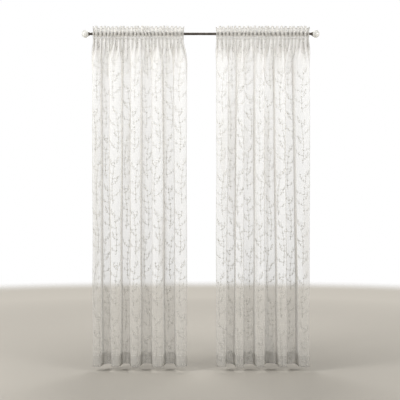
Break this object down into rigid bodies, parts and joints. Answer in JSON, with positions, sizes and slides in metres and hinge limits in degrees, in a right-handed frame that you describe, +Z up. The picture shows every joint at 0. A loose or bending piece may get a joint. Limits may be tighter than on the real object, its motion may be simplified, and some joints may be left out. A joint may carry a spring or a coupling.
{
  "type": "sheer voile curtain pair on a curtain rod",
  "caption": "Sheer rod-pocket voile panels with a ruffled header and a small sprig pattern, gathered on a thin dark rod with pale ball finials.",
  "frame": {"origin": "middle of the rod, on its axis", "axes": "+X along the rod to the right as seen from the room, +Y from the room towards the wall, +Z up"},
  "size_m": [1.495, 0.1081, 2.1345],
  "materials": {
    "rod_metal": "satin dark bronze",
    "finial_glass": "polished, cloudy off-white",
    "voile": "fine sheer plain weave with denser sprigs"
  },
  "bodies": {
    "root": {"rod": "rod_metal", "finial_neck_left": "rod_metal", "finial_neck_right": "rod_metal", "finial_ball_left": "finial_glass", "finial_ball_right": "finial_glass", "panel_left": "voile", "panel_right": "voile"}
  },
  "joints": []
}
